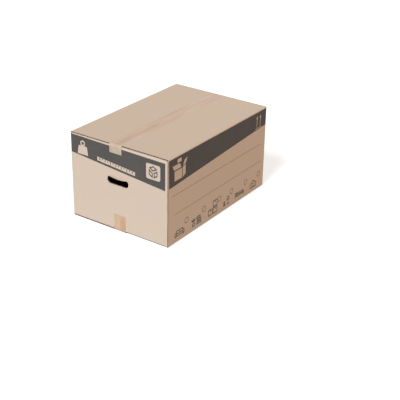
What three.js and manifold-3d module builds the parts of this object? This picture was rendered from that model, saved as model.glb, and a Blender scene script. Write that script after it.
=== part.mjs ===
// A large moving box: one sheet of single wall corrugated board, cut, scored, folded into a
// slotted carton and closed with a strip of packing tape along the top and another along the
// bottom. X runs along the length, Y across the width and Z up. The origin is the middle of
// the footprint, at the level of the bottom tape's underside.

import * as THREE from 'three';
import { mergeVertices } from 'three/addons/utils/BufferGeometryUtils.js';
import Module from 'manifold-3d';

const wasm = await Module();
wasm.setup();

// Driving dimensions, in millimetres
const insideLength = 600; // clear length between the two end panels
const insideWidth = 400; // clear width between the two long panels
const insideHeight = 300; // clear height between the inner flaps
const board = 4; // thickness of the corrugated board
const creaseRadius = 0.6; // inside radius of a scored fold

const seamGap = 1; // gap where the two outer flaps meet in the middle
const flapGap = 0.4; // air between an outer flap and the inner flap that it lies on
const outerFlapInset = 2.5; // from a fold's outside to the cut end of an outer flap
const innerFlapInset = 2; // from a long panel's inner face to the cut side of an inner flap
const slotDrop = 1; // how far the corner slots cut below the face of the inner flaps

const glueTabWidth = 35; // the flap that closes the sleeve, glued inside an end panel
const glueTabTaper = 12; // how much shorter the tab is at its free edge, at each end
const glueTabEase = 3; // from the tab's end at its fold to the inner flap

const handHoleWidth = 90;
const handHoleHeight = 28;
const handHoleDrop = 131; // from the top of the carton to the middle of the hand holes
const handFlapRadius = 1; // inside radius of the bend of the tongue pushed in at a hand hole
const handFlapTurn = 180; // how far the tongue is folded inwards and up, in degrees
const handFlapSag = 4; // how much lower the bend hangs in the middle than at its ends
const handFlapSide = 6; // from the end of the hole to the side of the tongue

const tapeWidth = 50;
const tapeThickness = 0.5;
const tapeAdhesive = 0.3; // layer between the board and the tape
const topTapeLap = 32; // how far the top tape runs down the end panels
const bottomTapeLap = 62; // how far the bottom tape runs up the end panels
const topTapeShift = 8; // the tapes were laid a little to one side of the seam
const bottomTapeShift = -5;
const cutterTooth = 2.5; // width of a tooth left by the tape cutter
const cutterDepth = 1;

const bendSteps = 6; // facets in a quarter turn of a fold
const sagSteps = 12; // facets across a bent tongue
const joinOverlap = 0.5; // how far pieces of the same sheet run into each other

// Sizes that follow
const bendRadius = creaseRadius + board;
const outsideLength = insideLength + 2 * board;
const outsideWidth = insideWidth + 2 * board;
const halfLength = outsideLength / 2;
const halfWidth = outsideWidth / 2;
const bottom = tapeThickness + tapeAdhesive;
const innerFlapBottom = bottom + board + flapGap;
const innerFlapTop = innerFlapBottom + board + insideHeight + board;
const top = innerFlapTop + flapGap + board;
const innerFlapHalf = insideWidth / 2 - innerFlapInset;
const flapReach = halfWidth - seamGap / 2; // all eight flaps are cut to one length

const UP = new THREE.Vector3(0, 0, 1);
const ALONG = new THREE.Vector3(1, 0, 0);
const ACROSS = new THREE.Vector3(0, 1, 0);
const quarter = Math.PI / 2;

const boardFinish = new THREE.MeshStandardMaterial({ color: 0xcdb69c, roughness: 0.9, metalness: 0 });
const tapeFinish = new THREE.MeshStandardMaterial({ color: 0xd2ba98, roughness: 0.35, metalness: 0 });

// A closed three.js geometry as a solid that can be joined and cut
function solidFrom(geometry) {
  const bare = geometry.clone();
  bare.deleteAttribute('normal');
  bare.deleteAttribute('uv');
  const merged = mergeVertices(bare, 1e-5);
  const vertProperties = new Float32Array(merged.attributes.position.array);
  const triVerts = new Uint32Array(merged.index.array);
  return new wasm.Manifold(new wasm.Mesh({ numProp: 3, vertProperties, triVerts }));
}

function meshFrom(solid, name, finish) {
  const result = solid.getMesh();
  const geometry = new THREE.BufferGeometry();
  geometry.setAttribute('position', new THREE.BufferAttribute(result.vertProperties, 3));
  geometry.setIndex(new THREE.BufferAttribute(result.triVerts, 1));
  geometry.computeVertexNormals();
  const mesh = new THREE.Mesh(geometry, finish);
  mesh.name = name;
  return mesh;
}

// An outline drawn in two directions and given a thickness on both sides of its plane
function slabGeometry(outline, thickness, right, up, centre, steps = 1) {
  const options = { depth: thickness, steps, bevelEnabled: false, curveSegments: bendSteps };
  const geometry = new THREE.ExtrudeGeometry(outline, options);
  geometry.translate(0, 0, -thickness / 2);
  const out = new THREE.Vector3().crossVectors(right, up);
  geometry.applyMatrix4(new THREE.Matrix4().makeBasis(right, up, out));
  geometry.translate(centre.x, centre.y, centre.z);
  return geometry;
}

function slab(outline, thickness, right, up, centre) {
  return solidFrom(slabGeometry(outline, thickness, right, up, centre));
}

function boxSolid(low, high) {
  const geometry = new THREE.BoxGeometry(high.x - low.x, high.y - low.y, high.z - low.z);
  geometry.translate((low.x + high.x) / 2, (low.y + high.y) / 2, (low.z + high.z) / 2);
  return solidFrom(geometry);
}

// A panel with a flap folded over at its foot and at its head, seen from the side: the first
// coordinate runs inwards from the panel's outer face, the second one up
function foldedOutline(low, high) {
  const radius = bendRadius;
  const shape = new THREE.Shape();
  shape.moveTo(flapReach, low);
  shape.lineTo(radius, low);
  shape.absarc(radius, low + radius, radius, -quarter, -2 * quarter, true);
  shape.lineTo(0, high - radius);
  shape.absarc(radius, high - radius, radius, 2 * quarter, quarter, true);
  shape.lineTo(flapReach, high);
  shape.lineTo(flapReach, high - board);
  shape.lineTo(radius, high - board);
  shape.absarc(radius, high - radius, creaseRadius, quarter, 2 * quarter, false);
  shape.lineTo(board, low + radius);
  shape.absarc(radius, low + radius, creaseRadius, 2 * quarter, 3 * quarter, false);
  shape.lineTo(flapReach, low + board);
  shape.closePath();
  return shape;
}

// The sleeve in plan. It starts at the raw edge of the end panel at the glued corner, runs
// round the box over three folds, folds a fourth time inside the first panel and ends in the
// glue tab. A groove stays between the raw edge and that last fold.
function sleeveOutline() {
  const inner = creaseRadius;
  const x = halfLength - bendRadius;
  const y = halfWidth - bendRadius;
  const tabX = -insideLength / 2 + bendRadius;
  const outline = new THREE.Shape();
  outline.moveTo(-halfLength, -halfWidth);
  outline.lineTo(-insideLength / 2, -halfWidth);
  outline.lineTo(-insideLength / 2, -y);
  outline.absarc(tabX, -y, bendRadius, 2 * quarter, 3 * quarter, false);
  outline.lineTo(x, -halfWidth);
  outline.absarc(x, -y, bendRadius, -quarter, 0, false);
  outline.lineTo(halfLength, y);
  outline.absarc(x, y, bendRadius, 0, quarter, false);
  outline.lineTo(-x, halfWidth);
  outline.absarc(-x, y, bendRadius, quarter, 2 * quarter, false);
  outline.closePath();

  const hollow = new THREE.Path();
  hollow.moveTo(tabX, -insideWidth / 2);
  hollow.absarc(tabX, -y, inner, 3 * quarter, 2 * quarter, true);
  hollow.lineTo(-insideLength / 2 + board, -y + glueTabWidth);
  hollow.lineTo(-insideLength / 2, -y + glueTabWidth);
  hollow.lineTo(-insideLength / 2, y);
  hollow.absarc(-x, y, inner, 2 * quarter, quarter, true);
  hollow.lineTo(x, insideWidth / 2);
  hollow.absarc(x, y, inner, quarter, 0, true);
  hollow.lineTo(insideLength / 2, -y);
  hollow.absarc(x, -y, inner, 0, -quarter, true);
  hollow.closePath();
  outline.holes.push(hollow);
  return outline;
}

// The four panels and the tab, with the corner slots cut away above and below the flaps
function makeSleeve() {
  const low = innerFlapBottom + slotDrop;
  const high = innerFlapTop - slotDrop;
  const centre = new THREE.Vector3(0, 0, (low + high) / 2);
  let sleeve = slab(sleeveOutline(), high - low, ALONG, ACROSS, centre);
  const reach = halfLength + bendRadius;
  for (const [from, to] of [[0, innerFlapBottom + bendRadius], [innerFlapTop - bendRadius, top]]) {
    const below = new THREE.Vector3(-reach, -innerFlapHalf, from);
    const above = new THREE.Vector3(reach, innerFlapHalf, to);
    sleeve = sleeve.subtract(boxSolid(below, above));
  }
  return sleeve;
}

// What is trimmed off both ends of the glue tab, so that it stays clear of the inner flaps
function makeTabTrims() {
  const foldY = -halfWidth + bendRadius;
  const freeY = foldY + glueTabWidth + joinOverlap;
  const x = -insideLength / 2 + board / 2 + joinOverlap / 2;
  const thickness = board + joinOverlap;
  const centre = new THREE.Vector3(x, 0, 0);
  const foot = innerFlapBottom + board;
  const head = innerFlapTop - board;
  const trims = [];
  for (const [edge, way] of [[foot, 1], [head, -1]]) {
    const trim = new THREE.Shape();
    trim.moveTo(foldY + joinOverlap, edge - way * board);
    trim.lineTo(freeY, edge - way * board);
    trim.lineTo(freeY, edge + way * (glueTabEase + glueTabTaper));
    trim.lineTo(foldY + joinOverlap, edge + way * glueTabEase);
    trim.closePath();
    trims.push(slab(trim, thickness, ACROSS, UP, centre));
  }
  return trims;
}

// An end panel with its two inner flaps
function makeEndStrip(way) {
  const outline = foldedOutline(innerFlapBottom, innerFlapTop);
  const inwards = new THREE.Vector3(-way, 0, 0);
  const centre = new THREE.Vector3(way * halfLength, 0, 0);
  return slab(outline, 2 * innerFlapHalf, inwards, UP, centre);
}

// A long panel with its two outer flaps. At the glued corner the flaps end at the fold of the
// glue tab, one board further in than elsewhere.
function makeLongStrip(way) {
  const outline = foldedOutline(bottom, top);
  const foldX = way < 0 ? -insideLength / 2 : -halfLength;
  const from = foldX + outerFlapInset;
  const to = halfLength - outerFlapInset;
  const inwards = new THREE.Vector3(0, -way, 0);
  const centre = new THREE.Vector3((from + to) / 2, way * halfWidth, 0);
  const strip = slab(outline, to - from, inwards, UP, centre);
  return strip.intersect(makeFoldedEnvelope(foldX));
}

// The room inside the upright folds' outer faces, which rounds the strips at their ends
function makeFoldedEnvelope(foldX) {
  const plan = new THREE.Shape();
  plan.moveTo(foldX + bendRadius, -halfWidth);
  plan.absarc(halfLength - bendRadius, -halfWidth + bendRadius, bendRadius, -quarter, 0, false);
  plan.absarc(halfLength - bendRadius, halfWidth - bendRadius, bendRadius, 0, quarter, false);
  plan.absarc(foldX + bendRadius, halfWidth - bendRadius, bendRadius, quarter, 2 * quarter, false);
  plan.absarc(foldX + bendRadius, -halfWidth + bendRadius, bendRadius, 2 * quarter, 3 * quarter, false);
  plan.closePath();
  return slab(plan, 2 * top, ALONG, ACROSS, new THREE.Vector3(0, 0, top / 2));
}

const handHoleZ = top - handHoleDrop;

function makeHandHoleCut(way) {
  const radius = handHoleHeight / 2;
  const run = handHoleWidth / 2 - radius;
  const hole = new THREE.Shape();
  hole.absarc(run, 0, radius, -quarter, quarter, false);
  hole.absarc(-run, 0, radius, quarter, 3 * quarter, false);
  hole.closePath();
  const centre = new THREE.Vector3(way * (halfLength - board / 2), 0, handHoleZ);
  return slab(hole, board + 2 * joinOverlap, ACROSS, UP, centre);
}

// The tongue of a hand hole, still joined along the hole's upper edge, bent inwards and up. Its
// bend hangs lowest in the middle, where the hand pushed it through.
function makeHandFlap(way) {
  const outer = handFlapRadius + board;
  const turn = THREE.MathUtils.degToRad(handFlapTurn);
  const end = 2 * quarter + turn;
  const along = new THREE.Vector2(-Math.sin(end), Math.cos(end));
  const away = new THREE.Vector2(Math.cos(end), Math.sin(end));
  const length = handHoleHeight - outer * turn / 2;
  const axis = new THREE.Vector2(outer, 0);
  const outerEnd = axis.clone().addScaledVector(away, outer).addScaledVector(along, length);
  const innerEnd = axis.clone().addScaledVector(away, handFlapRadius).addScaledVector(along, length);
  const rootHeight = board + handFlapSag;
  const section = new THREE.Shape();
  section.moveTo(0, rootHeight);
  section.absarc(axis.x, axis.y, outer, 2 * quarter, end, false);
  section.lineTo(outerEnd.x, outerEnd.y);
  section.lineTo(innerEnd.x, innerEnd.y);
  section.absarc(axis.x, axis.y, handFlapRadius, end, 2 * quarter, true);
  section.lineTo(board, rootHeight);
  section.closePath();

  const width = handHoleWidth - 2 * handFlapSide;
  const inwards = new THREE.Vector3(-way, 0, 0);
  const hinge = new THREE.Vector3(way * halfLength, 0, handHoleZ + handHoleHeight / 2);
  const geometry = slabGeometry(section, width, inwards, UP, hinge, sagSteps);
  const position = geometry.attributes.position;
  for (let i = 0; i < position.count; i += 1) {
    const share = Math.cos(quarter * position.getY(i) / (width / 2));
    position.setZ(i, position.getZ(i) - handFlapSag * share);
  }

  // The tongue's free corners are as round as the ends of the hole that it was cut from
  const corner = handHoleHeight / 2 - handFlapSide / 2;
  const half = width / 2;
  const far = 3 * handHoleHeight;
  const tongue = new THREE.Shape();
  tongue.moveTo(-half, -far);
  tongue.lineTo(half, -far);
  tongue.absarc(half - corner, length - corner, corner, 0, quarter, false);
  tongue.absarc(-half + corner, length - corner, corner, quarter, 2 * quarter, false);
  tongue.closePath();
  const rise = new THREE.Vector3(-way * along.x, 0, along.y);
  const start = new THREE.Vector3(hinge.x - way * outer, 0, hinge.z);
  const round = slab(tongue, far, ACROSS, rise, start);
  return solidFrom(geometry).intersect(round);
}

// One carton, from a single sheet
function makeCarton() {
  let carton = makeSleeve();
  for (const trim of makeTabTrims()) {
    carton = carton.subtract(trim);
  }
  for (const way of [-1, 1]) {
    carton = carton.add(makeEndStrip(way));
    carton = carton.add(makeLongStrip(way));
  }
  for (const way of [-1, 1]) {
    carton = carton.subtract(makeHandHoleCut(way));
    carton = carton.add(makeHandFlap(way));
  }
  return carton;
}

// A strip of tape seen from the side: it runs along the seam, bends over the cut ends of the
// outer flaps and is lapped down both end panels. Its side is 1 on the top, -1 on the bottom.
function tapeOutline(face, lapEnd, side) {
  const innerX = halfLength + tapeAdhesive;
  const outerX = innerX + tapeThickness;
  const innerBend = outerFlapInset + tapeAdhesive;
  const outerBend = innerBend + tapeThickness;
  const bendX = innerX - innerBend;
  const bendZ = face + side * (tapeAdhesive - innerBend);
  const shape = new THREE.Shape();
  shape.moveTo(outerX, lapEnd);
  shape.absarc(bendX, bendZ, outerBend, 0, side * quarter, side < 0);
  shape.absarc(-bendX, bendZ, outerBend, side * quarter, side * 2 * quarter, side < 0);
  shape.lineTo(-outerX, lapEnd);
  shape.lineTo(-innerX, lapEnd);
  shape.absarc(-bendX, bendZ, innerBend, side * 2 * quarter, side * quarter, side > 0);
  shape.absarc(bendX, bendZ, innerBend, side * quarter, 0, side > 0);
  shape.lineTo(innerX, lapEnd);
  shape.closePath();
  return shape;
}

// The row of notches between the teeth at a strip's end
function makeToothCut(lapEnd, side, shift) {
  const teeth = Math.round(tapeWidth / cutterTooth);
  const pitch = tapeWidth / teeth;
  const beyond = lapEnd - side * cutterTooth;
  const cut = new THREE.Shape();
  cut.moveTo(shift - tapeWidth, beyond);
  cut.lineTo(shift - tapeWidth, lapEnd);
  for (let i = 0; i <= teeth; i += 1) {
    const y = shift - tapeWidth / 2 + i * pitch;
    cut.lineTo(y - pitch / 2, lapEnd);
    cut.lineTo(y, lapEnd + side * cutterDepth);
  }
  cut.lineTo(shift + tapeWidth / 2 + pitch / 2, lapEnd);
  cut.lineTo(shift + tapeWidth, lapEnd);
  cut.lineTo(shift + tapeWidth, beyond);
  cut.closePath();
  return slab(cut, 2 * outsideLength, ACROSS, UP, new THREE.Vector3(0, 0, 0));
}

function makeTape(face, lap, side, shift) {
  const lapEnd = face - side * lap;
  const outline = tapeOutline(face, lapEnd, side);
  const strip = slab(outline, tapeWidth, ALONG, UP, new THREE.Vector3(0, shift, 0));
  return strip.subtract(makeToothCut(lapEnd, side, shift));
}

const topTape = makeTape(top, topTapeLap, 1, topTapeShift);
const bottomTape = makeTape(bottom, bottomTapeLap, -1, bottomTapeShift);

const movingBox = new THREE.Group();
movingBox.add(meshFrom(makeCarton(), 'carton', boardFinish));
movingBox.add(meshFrom(topTape, 'top_tape', tapeFinish));
movingBox.add(meshFrom(bottomTape, 'bottom_tape', tapeFinish));

export default movingBox;
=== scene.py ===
import math

import bpy
from mathutils import Matrix, Vector


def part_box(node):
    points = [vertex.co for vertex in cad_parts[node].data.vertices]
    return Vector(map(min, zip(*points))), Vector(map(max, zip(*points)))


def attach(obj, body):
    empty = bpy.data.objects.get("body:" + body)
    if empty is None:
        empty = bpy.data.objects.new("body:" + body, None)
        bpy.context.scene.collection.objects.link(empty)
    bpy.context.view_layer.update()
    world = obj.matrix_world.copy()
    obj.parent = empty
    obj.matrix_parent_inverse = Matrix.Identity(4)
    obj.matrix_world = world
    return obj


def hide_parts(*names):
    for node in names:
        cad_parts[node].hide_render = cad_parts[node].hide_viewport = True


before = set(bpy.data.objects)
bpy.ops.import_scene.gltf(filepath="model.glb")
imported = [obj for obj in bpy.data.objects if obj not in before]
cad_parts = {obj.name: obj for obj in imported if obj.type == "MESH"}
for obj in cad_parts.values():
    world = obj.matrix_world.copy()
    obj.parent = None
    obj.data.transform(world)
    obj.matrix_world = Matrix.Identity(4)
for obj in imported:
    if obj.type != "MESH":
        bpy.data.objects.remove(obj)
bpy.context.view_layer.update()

# Camera
# The box is seen from the side of its glued corner, a little to the left, from above: a hand
# hole end on the left, a long panel on the right and the taped top.
azimuth = math.radians(-55.94)
elevation = math.radians(26.60)
roll = math.radians(1.27)
distance = 3.260
focal_share = 2.2800
sensor_width = 36
step_right = 0.1032
step_up = -0.1425
view_reach = 60
carton_low, carton_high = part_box("carton")
carton_middle = (carton_low + carton_high) / 2

back = Vector((math.sin(azimuth) * math.cos(elevation),
               -math.cos(azimuth) * math.cos(elevation),
               math.sin(elevation)))
level = Vector((math.cos(azimuth), math.sin(azimuth), 0))
rise = back.cross(level)
camera_right = level * math.cos(roll) + rise * math.sin(roll)
camera_up = rise * math.cos(roll) - level * math.sin(roll)
camera_place = carton_middle + back * distance + level * step_right + rise * step_up
bpy.ops.object.camera_add()
camera = bpy.context.object
camera.data.sensor_width = sensor_width
camera.data.lens = sensor_width * focal_share
camera.data.clip_end = view_reach
facing = Matrix((camera_right, camera_up, back)).transposed().to_4x4()
camera.matrix_world = Matrix.Translation(camera_place) @ facing
bpy.context.scene.camera = camera


# Carton
# One sheet of single wall corrugated board: two brown kraft liners glued to a fluted medium.
# It is die cut, scored, folded round and glued to itself at one corner, and its flaps are
# folded shut. The cut edges show the flutes, with painted shade in the open hollows between them.
MM = 0.001
board = 4 * MM
flute_pitch = 7.9 * MM
flap_ends = (296 * MM, 302.5 * MM)
kraft_colour = (0.62, 0.505, 0.41, 1)
kraft_warm_tone = (0.9, 0.8449, 0.7931)
kraft_roughness = 0.86
kraft_gloss = 0.2
cloud_scale = 6
cloud_depth = 0.16
fibre_scale = 380
fibre_stretch = (0.4, 0.4, 1)
fibre_depth = 0.09
flute_depth = 0.007
liner_relief = 0.12 * MM
flute_relief_share = 0.24
fibre_relief_share = 0.4
relief_strength = 0.15
cut_roughness = 0.95
cut_gloss = 0.1
cut_relief = 0.6 * MM
cut_relief_strength = 0.6
liner_share = 0.1
wave_share = 0.36
medium_share = 0.09
torn_patch_scale = 90
noise_roughness = 0.6
merge_reach = 0.001 * MM
flat_angle = math.radians(0.4)
board_smooth_angle = math.radians(32)
liner_colour = (0.46, 0.36, 0.27, 1)
medium_colour = (0.36, 0.26, 0.18, 1)
# Painted shade: the open flute hollows on the flat cut edges are coloured near black for the shade
# inside them.
flute_hollow_shade_colour = (0.11, 0.074, 0.052, 1)


def new_material(name, roughness, gloss):
    material = bpy.data.materials.new(name)
    material.use_nodes = True
    shader = material.node_tree.nodes["Principled BSDF"]
    shader.inputs["Roughness"].default_value = roughness
    shader.inputs["Specular IOR Level"].default_value = gloss
    return material, material.node_tree, shader


def coordinates(tree, kind):
    return tree.nodes.new("ShaderNodeTexCoord").outputs[kind]


def split_axes(tree, place):
    split = tree.nodes.new("ShaderNodeSeparateXYZ")
    tree.links.new(place, split.inputs["Vector"])
    return split.outputs


def math_node(tree, operation, *values):
    node = tree.nodes.new("ShaderNodeMath")
    node.operation = operation
    for socket, value in zip(node.inputs, values):
        if isinstance(value, (int, float)):
            socket.default_value = value
        else:
            tree.links.new(value, socket)
    return node.outputs[0]


def weighted_sum(tree, start, terms):
    total = start
    for value, weight in terms:
        total = math_node(tree, "MULTIPLY_ADD", value, weight, total)
    return total


def noise_node(tree, place, scale, detail, stretch=(1, 1, 1)):
    mapping = tree.nodes.new("ShaderNodeMapping")
    mapping.inputs["Scale"].default_value = stretch
    tree.links.new(place, mapping.inputs["Vector"])
    noise = tree.nodes.new("ShaderNodeTexNoise")
    noise.inputs["Scale"].default_value = scale
    noise.inputs["Detail"].default_value = detail
    noise.inputs["Roughness"].default_value = noise_roughness
    tree.links.new(mapping.outputs["Vector"], noise.inputs["Vector"])
    return noise.outputs["Fac"]


def mix_colours(tree, factor, first, second):
    mix = tree.nodes.new("ShaderNodeMix")
    mix.data_type = "RGBA"
    for name, value in (("Factor", factor), ("A", first), ("B", second)):
        socket = [entry for entry in mix.inputs if entry.name == name and entry.enabled][0]
        if isinstance(value, tuple):
            socket.default_value = value
        else:
            tree.links.new(value, socket)
    return [entry for entry in mix.outputs if entry.enabled][0]


def toned(colour, tone):
    return tuple(part * share for part, share in zip(colour, tone)) + (1,)


def shaded(tree, colour, share):
    scale = tree.nodes.new("ShaderNodeVectorMath")
    scale.operation = "SCALE"
    tree.links.new(colour, scale.inputs[0])
    tree.links.new(share, scale.inputs["Scale"])
    return scale.outputs[0]


def add_bump(tree, shader, height, strength, depth):
    bump = tree.nodes.new("ShaderNodeBump")
    bump.inputs["Strength"].default_value = strength
    bump.inputs["Distance"].default_value = depth
    tree.links.new(height, bump.inputs["Height"])
    tree.links.new(bump.outputs["Normal"], shader.inputs["Normal"])


def flute_wave(tree, place):
    """The faint stripes of the flutes under the liner: they follow each other along X on the
    long panels and their flaps, and along Y on the end panels."""
    axes = split_axes(tree, place)
    reach = math_node(tree, "ABSOLUTE", axes["X"])
    on_end = math_node(tree, "GREATER_THAN", reach, carton_high.x - 0.1 * board)
    on_long = math_node(tree, "SUBTRACT", 1, on_end)
    run = math_node(tree, "MULTIPLY", axes["Y"], on_end)
    run = math_node(tree, "MULTIPLY_ADD", axes["X"], on_long, run)
    return math_node(tree, "SINE", math_node(tree, "MULTIPLY", run, 2 * math.pi / flute_pitch))


def add_liner_relief(tree, shader, wave, fibres):
    height = weighted_sum(tree, 0, ((wave, flute_relief_share), (fibres, fibre_relief_share)))
    add_bump(tree, shader, height, relief_strength, liner_relief)


def make_kraft(name, colour):
    material, tree, shader = new_material(name, kraft_roughness, kraft_gloss)
    place = coordinates(tree, "Object")
    clouds = noise_node(tree, place, cloud_scale, 2)
    fibres = noise_node(tree, place, fibre_scale, 3, fibre_stretch)
    wave = flute_wave(tree, place)
    base = mix_colours(tree, clouds, colour, toned(colour, kraft_warm_tone))
    start = 1 - (cloud_depth + fibre_depth) / 2
    parts = ((clouds, cloud_depth), (fibres, fibre_depth), (wave, flute_depth))
    share = weighted_sum(tree, start, parts)
    tree.links.new(shaded(tree, base, share), shader.inputs["Base Color"])
    add_liner_relief(tree, shader, wave, fibres)
    return material


def make_cut_edge(name, across_flutes, open_share):
    """A cut edge, on the edge's own map: the first number runs along it in metres, the second
    one from liner to liner."""
    material, tree, shader = new_material(name, cut_roughness, cut_gloss)
    place = coordinates(tree, "UV")
    axes = split_axes(tree, place)
    from_middle = math_node(tree, "ABSOLUTE", math_node(tree, "SUBTRACT", axes["Y"], 0.5))
    is_liner = math_node(tree, "GREATER_THAN", from_middle, 0.5 - liner_share)
    if across_flutes:
        angle = math_node(tree, "MULTIPLY", axes["X"], 2 * math.pi / flute_pitch)
        wave = math_node(tree, "MULTIPLY_ADD", math_node(tree, "SINE", angle), wave_share, 0.5)
        from_wave = math_node(tree, "ABSOLUTE", math_node(tree, "SUBTRACT", axes["Y"], wave))
        is_medium = math_node(tree, "LESS_THAN", from_wave, medium_share)
    else:
        patches = noise_node(tree, place, torn_patch_scale, 2)
        is_medium = math_node(tree, "GREATER_THAN", patches, open_share)
    # Where neither liner nor medium shows, the cut edge gets the near-black painted shade of the open
    # flute hollows.
    inner = mix_colours(tree, is_medium, flute_hollow_shade_colour, medium_colour)
    tree.links.new(mix_colours(tree, is_liner, inner, liner_colour), shader.inputs["Base Color"])
    solid = math_node(tree, "MAXIMUM", is_liner, is_medium)
    add_bump(tree, shader, solid, cut_relief_strength, cut_relief)
    return material


kraft = make_kraft("kraft_liner", kraft_colour)
cut_across = make_cut_edge("cut_across_flutes", True, 0)
cut_along = make_cut_edge("cut_along_open_flute", False, 0.62)
cut_closed = make_cut_edge("cut_along_closed_flute", False, 0.2)


def select_only(piece):
    bpy.ops.object.select_all(action="DESELECT")
    piece.select_set(True)
    bpy.context.view_layer.objects.active = piece


def apply_modifier(piece, kind, **settings):
    select_only(piece)
    bpy.ops.object.modifier_add(type=kind)
    modifier = piece.modifiers[-1]
    for name, value in settings.items():
        setattr(modifier, name, value)
    bpy.ops.object.modifier_apply(modifier=modifier.name)


def cut_edge(face, places):
    """What a cut edge of the board is made of, the axis along it, the axis through the board
    and where that one starts. None on the face of a liner."""
    centre = face.center
    outer_flap = centre.z > carton_high.z - 1.1 * board or centre.z < carton_low.z + 1.1 * board
    if outer_flap and abs(face.normal.x) > 0.99 and flap_ends[0] < abs(centre.x) < flap_ends[1]:
        start = carton_low.z if centre.z < carton_middle.z else carton_high.z - board
        return 2, 1, 2, start
    across = max(range(3), key=lambda axis: abs(face.normal[axis]))
    for through in range(3):
        start = min(place[through] for place in places)
        depth = max(place[through] for place in places) - start
        if through == across or abs(depth - board) > 0.02 * MM or abs(face.normal[through]) > 0.02:
            continue
        along = 3 - across - through
        flutes = 2
        if through == 2:
            flutes = 1 if outer_flap else 0
        if across == flutes:
            return 1, along, through, start
        on_corner = abs(centre.y) > carton_high.y - 0.2 * board
        return 3 if on_corner else 2, along, through, start
    return None


folded_carton = bpy.data.objects.new("folded_carton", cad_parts["carton"].data.copy())
bpy.context.collection.objects.link(folded_carton)
select_only(folded_carton)
bpy.ops.object.mode_set(mode="EDIT")
bpy.ops.mesh.select_all(action="SELECT")
bpy.ops.mesh.remove_doubles(threshold=merge_reach)
bpy.ops.mesh.dissolve_limited(angle_limit=flat_angle)
bpy.ops.object.mode_set(mode="OBJECT")

carton_mesh = folded_carton.data
carton_mesh.materials.clear()
for material in (kraft, cut_across, cut_along, cut_closed):
    carton_mesh.materials.append(material)
edge_map = carton_mesh.uv_layers.new(name="edge_map")
for face in carton_mesh.polygons:
    found = cut_edge(face, [carton_mesh.vertices[i].co for i in face.vertices])
    face.material_index = 0
    if found is None:
        continue
    face.material_index, along, through, start = found
    for loop in face.loop_indices:
        place = carton_mesh.vertices[carton_mesh.loops[loop].vertex_index].co
        edge_map.data[loop].uv = (place[along], (place[through] - start) / board)

select_only(folded_carton)
bpy.ops.object.shade_smooth_by_angle(angle=board_smooth_angle)
apply_modifier(folded_carton, "WEIGHTED_NORMAL", weight=100, keep_sharp=True)
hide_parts("carton")
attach(folded_carton, "root")


# Print
# One charcoal ink, printed on the flat board before it is cut. Each end has a band with a
# weight sign, a ruler and a badge left bare in it. Each long panel has a band with an open box
# and the this way up sign, two dotted lines to write on, and signs with circles to tick.
ink_lift = 0.03 * MM
ink_thickness = 0.03 * MM
ink_colour = (0.079, 0.072, 0.069, 1)
ink_roughness = 0.74
ink_gloss = 0.15
ink_cloud_scale = 14
ink_fibre_scale = 420
ink_cloud_depth = 0.2
ink_fibre_depth = 0.3
ink_flute_depth = 0.04
ink_warm_tone = (1.12, 1.06, 1)
sign_line = 3.2


def make_ink(name, colour):
    material, tree, shader = new_material(name, ink_roughness, ink_gloss)
    place = coordinates(tree, "Object")
    clouds = noise_node(tree, place, ink_cloud_scale, 3)
    fibres = noise_node(tree, place, ink_fibre_scale, 3, fibre_stretch)
    wave = flute_wave(tree, place)
    base = mix_colours(tree, clouds, colour, toned(colour, ink_warm_tone))
    start = 1 - (ink_cloud_depth + ink_fibre_depth) / 2
    parts = ((clouds, ink_cloud_depth), (fibres, ink_fibre_depth), (wave, ink_flute_depth))
    share = weighted_sum(tree, start, parts)
    tree.links.new(shaded(tree, base, share), shader.inputs["Base Color"])
    add_liner_relief(tree, shader, wave, fibres)
    return material


ink = make_ink("charcoal_ink", ink_colour)


def rectangle(left, low, right, high):
    return [(left, low), (right, low), (right, high), (left, high)]


def frame_of(left, low, right, high, stroke=sign_line):
    return [rectangle(left, low, right, high),
            rectangle(left + stroke, low + stroke, right - stroke, high - stroke)]


def arc(centre, radius, start, end, steps):
    outline = []
    for i in range(steps + 1):
        angle = math.radians(start + (end - start) * i / steps)
        outline.append((centre[0] + radius * math.cos(angle), centre[1] + radius * math.sin(angle)))
    return outline


def circle(centre, radius, steps=32):
    return arc(centre, radius, 0, 360 * (steps - 1) / steps, steps - 1)


def rounded(left, low, right, high, radius):
    outline = arc((right - radius, high - radius), radius, 0, 90, 5)
    outline += arc((left + radius, high - radius), radius, 90, 180, 5)
    outline += arc((left + radius, low + radius), radius, 180, 270, 5)
    outline += arc((right - radius, low + radius), radius, 270, 360, 5)
    return outline


def moved(outlines, right, up):
    return [[(x + right, z + up) for x, z in outline] for outline in outlines]


def print_on(side, name, outlines):
    """Lays ink on a panel. The outlines are in millimetres, to the right of the panel's left
    edge and above the board's lowest point, as seen from outside. They are filled, and an
    outline inside another one is left bare."""
    drawing = bpy.data.curves.new(name, "CURVE")
    drawing.dimensions = "2D"
    drawing.fill_mode = "BOTH"
    for outline in outlines:
        spline = drawing.splines.new("POLY")
        spline.points.add(len(outline) - 1)
        for point, (right, up) in zip(spline.points, outline):
            point.co = (right * MM, up * MM, 0, 1)
        spline.use_cyclic_u = True
    piece = bpy.data.objects.new(name, drawing)
    bpy.context.collection.objects.link(piece)
    select_only(piece)
    bpy.ops.object.convert(target="MESH")
    out = Vector(side)
    up = Vector((0, 0, 1))
    right = up.cross(out)
    corner = Vector((out.x * carton_high.x, out.y * carton_high.y, carton_low.z)) + out * ink_lift
    corner -= Vector((right.x * carton_high.x, right.y * carton_high.y, 0))
    piece.matrix_world = Matrix.Translation(corner) @ Matrix((right, up, out)).transposed().to_4x4()
    bpy.ops.object.transform_apply(location=True, rotation=True, scale=True)
    bpy.ops.object.mode_set(mode="EDIT")
    bpy.ops.mesh.select_all(action="SELECT")
    bpy.ops.mesh.remove_doubles(threshold=merge_reach)
    bpy.ops.object.mode_set(mode="OBJECT")
    apply_modifier(piece, "SOLIDIFY", thickness=ink_thickness, offset=1)
    piece.data.materials.clear()
    piece.data.materials.append(ink)
    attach(piece, "root")


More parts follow.
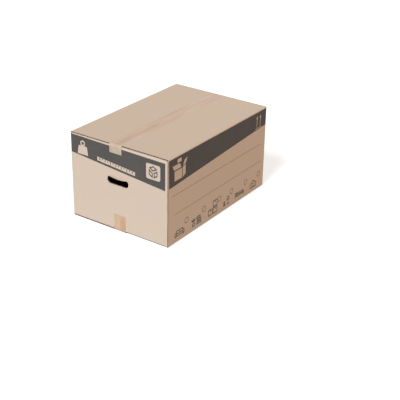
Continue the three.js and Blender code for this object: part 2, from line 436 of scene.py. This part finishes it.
# An end panel
end_band = [(4.5, 310.2), (399, 304.0), (399, 207.7), (4.5, 243.6)]
weight_eye = (55, 285.5)
weight_outline = [(31.5, 245), (77.5, 245), (77.5, 246.5), (73, 274.5), (71, 276.5)]
weight_outline += arc(weight_eye, 10.5, -59, 239, 22)
weight_outline += [(39, 276.5), (37, 274.5), (31.5, 246.5)]
weight_sign = [weight_outline, circle(weight_eye, 5.6, 24)]
badge = rounded(322.5, 234.5, 379.5, 289, 7)
cube_middle = (351, 261.7)
cube_size = 20
cube_line = 4.2
cube_edge_reach = 0.433
ruler_start = (117, 241)
ruler_end = (277, 227)
ruler_height = 13.5
ruler_parts = 14
tick_width = 3.2
tick_drop = 1.2
long_tick = 0.66
short_tick = 0.4


def cube_sign(centre, size, stroke):
    """A plain box in outline, seen from one corner: its top and two sides."""
    x, z = centre
    wide = size * math.cos(math.radians(30))
    gap = stroke / 2
    share = 1 - stroke / (size * cube_edge_reach)
    half = size / 2
    top_face = [(x, z + gap), (x + wide, z + half + gap)]
    top_face += [(x, z + size + gap), (x - wide, z + half + gap)]
    left_face = [(x - wide, z + half - gap), (x - gap, z - gap), (x - gap, z - size - gap)]
    left_face.append((x - wide, z - half - gap))
    right_face = [(2 * x - px, pz) for px, pz in left_face]
    sign = []
    for outline in (top_face, left_face, right_face):
        mx = sum(px for px, pz in outline) / 4
        mz = sum(pz for px, pz in outline) / 4
        sign += [outline, [(mx + (px - mx) * share, mz + (pz - mz) * share) for px, pz in outline]]
    return sign


def ruler_sign(start, end, height, parts):
    """A bare sloping bar with dark ticks down from its upper edge, every other one long."""
    slope = (end[1] - start[1]) / (end[0] - start[0])
    sign = [[start, end, (end[0], end[1] + height), (start[0], start[1] + height)]]
    for i in range(1, parts):
        x = start[0] + (end[0] - start[0]) * i / parts
        top = start[1] + slope * (x - start[0]) + height - tick_drop
        reach = height * (long_tick if i % 2 else short_tick)
        sign.append(rectangle(x - tick_width / 2, top - reach, x + tick_width / 2, top))
    return sign


end_print = [end_band, badge] + weight_sign + cube_sign(cube_middle, cube_size, cube_line)
end_print += ruler_sign(ruler_start, ruler_end, ruler_height, ruler_parts)


# A long panel
long_band = [(8, 312), (603, 312), (603, 248.3), (8, 212.6)]
open_box_sign = [
    [(38, 230), (79, 230), (79, 265), (38, 265)],
    [(82.5, 230), (99, 238), (99, 272), (82.5, 265)],
    [(36, 269), (76, 269), (67, 286), (27, 286)],
    [(84, 269), (101, 276), (109, 295), (92, 288)],
    [(54, 290), (76, 290), (76, 303), (54, 303)],
]


def arrow(x, low, high, head, shaft):
    neck = high - head
    return [(x - shaft / 2, low), (x + shaft / 2, low), (x + shaft / 2, neck), (x + head / 2, neck),
            (x, high), (x - head / 2, neck), (x - shaft / 2, neck)]


arrow_low = 255
arrow_high = 299
arrow_head = 12
arrow_shaft = 3.4
up_sign = [arrow(x, arrow_low, arrow_high, arrow_head, arrow_shaft) for x in (542, 564)]
up_sign += [rectangle(533, 249, 574, 251.6)]

dot_size = 2.5
dot_pitch = 5
write_lines = []
for left, right, up in ((28, 582, 179), (42, 588, 108)):
    for i in range(int((right - left) / dot_pitch)):
        x = left + i * dot_pitch
        write_lines.append(rectangle(x, up, x + dot_size, up + dot_size))

circle_up = 61
circle_radius = 11
circle_line = 2.1
tick_circles = []
for middle in (109, 212, 308, 386, 481, 571):
    tick_circles.append(circle((middle, circle_up), circle_radius))
    tick_circles.append(circle((middle, circle_up), circle_radius - circle_line))

sofa = [[(0, 4), (0, 16), (3, 19), (8, 19), (8, 26)]]
sofa[0] += [(47, 26), (47, 19), (52, 19), (55, 16), (55, 4)]
sofa += [rectangle(11.2, 15.4, 26, 22.8), rectangle(29.2, 15.4, 44, 22.8)]
sofa += [rectangle(11.2, 7.2, 44, 12.2)]
sofa += [rectangle(3.2, 7.2, 8, 15.4), rectangle(47.2, 7.2, 52, 15.4)]
sofa += [rectangle(4, 0, 8, 3.4), rectangle(47, 0, 51, 3.4)]
leaves = [[(9.6, 15), (8.6, 22), (3, 28), (-1, 29), (1, 21)],
          [(12.4, 15), (13.4, 22), (19, 28), (23, 29), (21, 21)],
          [(11, 16), (14, 25), (11, 33), (8, 25)]]
plant = [[(5, 0), (17, 0), (20, 13), (2, 13)], [(8, 3), (14, 3), (15.8, 10), (6.2, 10)]] + leaves
books = frame_of(29, 0, 57, 9.4) + frame_of(31, 10.6, 55, 20) + frame_of(28, 21.2, 52, 30.6)
boxes = frame_of(0, 0, 27, 24) + frame_of(29, 0, 56, 24) + frame_of(29, 26, 56, 51)
boxes += [rectangle(11.5, 13.6, 15.5, 20.8), rectangle(40.5, 13.6, 44.5, 20.8)]
boxes += [rectangle(40.5, 40.6, 44.5, 47.8)]
small_leaves = [[(x * 0.62 + 1.2, z * 0.62 + 0.6) for x, z in leaf] for leaf in leaves]
lamp = [rectangle(24, 0, 40, 3.2), rectangle(30.4, 3.2, 33.6, 18)]
lamp += [[(23, 18.4), (41, 18.4), (37, 33), (27, 33)]]
lamp += [[(27, 21.6), (37, 21.6), (34.6, 29.8), (29.4, 29.8)]]
lamp += [[(3, 0), (13, 0), (15, 9), (1, 9)]] + small_leaves
bed = [rectangle(0, 0, 3.2, 25), rectangle(57, 0, 60.2, 16)] + frame_of(4.4, 5, 56, 13)
bed += frame_of(6, 14.4, 21, 22) + frame_of(23, 14.4, 56, 20.6, 2)
shed = [[(4, 0), (46, 0), (46, 14), (50, 14), (25, 32), (0, 14), (4, 14)]]
shed += [[(7.2, 3.2), (42.8, 3.2), (42.8, 15.4), (25, 27.8), (7.2, 15.4)]]
shed += frame_of(17.5, 5.4, 32.5, 18.5, 2.6)
sign_up = 18
sign_places = [(sofa, 42), (plant, 139), (books, 139), (boxes, 239)]
sign_places += [(lamp, 333), (bed, 411), (shed, 509)]
sign_row = []
for sign, place in sign_places:
    sign_row += moved(sign, place, sign_up)

long_print = [long_band] + open_box_sign + up_sign + write_lines + tick_circles + sign_row
print_on((-1, 0, 0), "print_left_end", end_print)
print_on((1, 0, 0), "print_right_end", end_print)
print_on((0, -1, 0), "print_near_side", long_print)
print_on((0, 1, 0), "print_far_side", long_print)


# Tape
# Two strips of buff packing film, pressed down by hand along the top and the bottom seam and
# lapped over both ends. A cutter with small teeth has torn them off. The film takes some of
# the tone of what lies under it.
film_thickness = 0.06 * MM
film_lift = 0.09 * MM
film_width = 50 * MM
film_columns = 20
tooth_depth = 1 * MM
flat_runs = (0, 0.15, 0.29)
flap_end = 301.45 * MM
edge_bend = (0.17 * MM, 0.19 * MM)
fold_foot = 8.2 * MM
lap_start = 9.2 * MM
top_lap_end = 285.6 * MM
low_lap_end = 62.8 * MM
top_strip_side = -17 * MM
low_strip_side = -30 * MM
film_colour = (0.53, 0.36, 0.268, 1)
film_lap_colour = (0.434, 0.351, 0.262, 1)
low_film_colour = (0.52, 0.331, 0.187, 1)
film_roughness = 0.45
film_gloss = 0.2
film_cloud_scale = 9
film_cloud_stretch = (0.5, 3, 1)
film_cloud_depth = 0.2
clear_gain = 2.4
clear_start = -0.9
crease_scale = 70
crease_stretch = (0.25, 2.2, 1)
crease_strength = 0.3
crease_depth = 0.4 * MM
film_smooth_angle = math.radians(35)


def make_film(name, colour, lap_colour):
    material, tree, shader = new_material(name, film_roughness, film_gloss)
    place = coordinates(tree, "Object")
    clouds = noise_node(tree, place, film_cloud_scale, 3, film_cloud_stretch)
    creases = noise_node(tree, place, crease_scale, 3, crease_stretch)
    reach = math_node(tree, "ABSOLUTE", split_axes(tree, place)["X"])
    on_lap = math_node(tree, "GREATER_THAN", reach, carton_high.x)
    base = mix_colours(tree, on_lap, colour, lap_colour)
    clearness = math_node(tree, "MULTIPLY_ADD", clouds, clear_gain, clear_start)
    base = mix_colours(tree, clearness, base, kraft_colour)
    share = weighted_sum(tree, 1 - film_cloud_depth / 2, ((clouds, film_cloud_depth),))
    tree.links.new(shaded(tree, base, share), shader.inputs["Base Color"])
    add_bump(tree, shader, creases, crease_strength, crease_depth)
    return material


def half_path(height, lap_end, out):
    """Half of a strip's way, as distance from the middle and height: along the flaps, over
    their ends, past the fold and along the end panel."""
    wall = carton_high.x + film_lift
    path = [(x, height) for x in flat_runs + (flap_end,)]
    path.append((flap_end + edge_bend[0], height - edge_bend[1] * out))
    for z in (height - fold_foot * out, height - lap_start * out, (height + lap_end) / 2, lap_end):
        path.append((wall, z))
    return path


def lay_film(name, node, side, height, lap_end, out, colours):
    half = half_path(height, lap_end, out)
    path = [(-x, z) for x, z in reversed(half[1:])] + half
    if out < 0:
        path.reverse()
    bpy.ops.mesh.primitive_grid_add(x_subdivisions=len(path) - 1, y_subdivisions=film_columns, size=1)
    strip = bpy.context.object
    strip.name = name
    runs = sorted({round(vertex.co.x, 4) for vertex in strip.data.vertices})
    rows = sorted({round(vertex.co.y, 4) for vertex in strip.data.vertices})
    for vertex in strip.data.vertices:
        run = runs.index(round(vertex.co.x, 4))
        row = rows.index(round(vertex.co.y, 4))
        x, z = path[run]
        if run in (0, len(runs) - 1) and row % 2:
            z += tooth_depth * out
        vertex.co = (x, side + film_width * row / (len(rows) - 1), z)
    apply_modifier(strip, "SOLIDIFY", thickness=film_thickness, offset=1)
    bpy.ops.object.shade_smooth_by_angle(angle=film_smooth_angle)
    strip.data.materials.clear()
    strip.data.materials.append(make_film(name + "_film", *colours))
    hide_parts(node)
    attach(strip, "root")


lay_film("top_strip", "top_tape", top_strip_side, carton_high.z + film_lift, top_lap_end, 1,
         (film_colour, film_lap_colour))
lay_film("bottom_strip", "bottom_tape", low_strip_side, carton_low.z - film_lift, low_lap_end, -1,
         (low_film_colour, low_film_colour))


# Studio
# A plain pale floor that fades to white, one large soft lamp from the left and above, a weak
# warm one that lights the long panel, and even light from all round. The camera and anything
# glossy see the floor a little brighter than it is.
lamp_direction = Vector((-0.735, -0.03, 0.677))
lamp_colour = (0.77, 0.865, 1)
lamp_strength = 3.31
lamp_softness = math.radians(24)
fill_direction = Vector((0.15, -0.97, 0.2))
fill_colour = (1, 0.295, 0.02)
fill_strength = 0.48
fill_softness = math.radians(60)
ambient_colour = (1, 0.857, 0.59, 1)
ambient_strength = 0.42
floor_size = 40
floor_drop = 0.3 * MM
floor_shade = (0.7, 0.7, 0.7, 1)
floor_glow_colour = (0.89, 0.935, 1, 1)
floor_glow = 0.64


def add_sun(direction, colour, strength, softness):
    bpy.ops.object.light_add(type="SUN")
    sun = bpy.context.object
    sun.data.color = colour
    sun.data.energy = strength
    sun.data.angle = softness
    sun.rotation_mode = "QUATERNION"
    sun.rotation_quaternion = direction.to_track_quat("Z", "Y")


add_sun(lamp_direction, lamp_colour, lamp_strength, lamp_softness)
add_sun(fill_direction, fill_colour, fill_strength, fill_softness)

def sees_background(tree):
    """1 for a ray from the camera or from a glossy or clear surface, and 0 for all others."""
    rays = tree.nodes.new("ShaderNodeLightPath").outputs
    seen = math_node(tree, "MAXIMUM", rays["Is Camera Ray"], rays["Is Glossy Ray"])
    return math_node(tree, "MAXIMUM", seen, rays["Is Transmission Ray"])


world = bpy.data.worlds.new("studio")
bpy.context.scene.world = world
world.use_nodes = True
world_tree = world.node_tree
surround = world_tree.nodes["Background"]
surround.inputs["Color"].default_value = ambient_colour
surround.inputs["Strength"].default_value = ambient_strength
backdrop = world_tree.nodes.new("ShaderNodeBackground")
backdrop.inputs["Color"].default_value = (1, 1, 1, 1)
chooser = world_tree.nodes.new("ShaderNodeMixShader")
world_tree.links.new(sees_background(world_tree), chooser.inputs["Fac"])
world_tree.links.new(surround.outputs[0], chooser.inputs[1])
world_tree.links.new(backdrop.outputs[0], chooser.inputs[2])
world_tree.links.new(chooser.outputs[0], world_tree.nodes["World Output"].inputs["Surface"])

bpy.ops.mesh.primitive_plane_add(size=floor_size, location=(0, 0, -floor_drop))
floor = bpy.context.object
floor.name = "floor"
floor_material, floor_tree, floor_shader = new_material("pale_floor", 1, 0)
floor_shader.inputs["Base Color"].default_value = floor_shade
floor_shader.inputs["Emission Color"].default_value = floor_glow_colour
glow = math_node(floor_tree, "MULTIPLY", sees_background(floor_tree), floor_glow)
floor_tree.links.new(glow, floor_shader.inputs["Emission Strength"])
floor.data.materials.append(floor_material)

bpy.context.scene.view_settings.view_transform = "Standard"
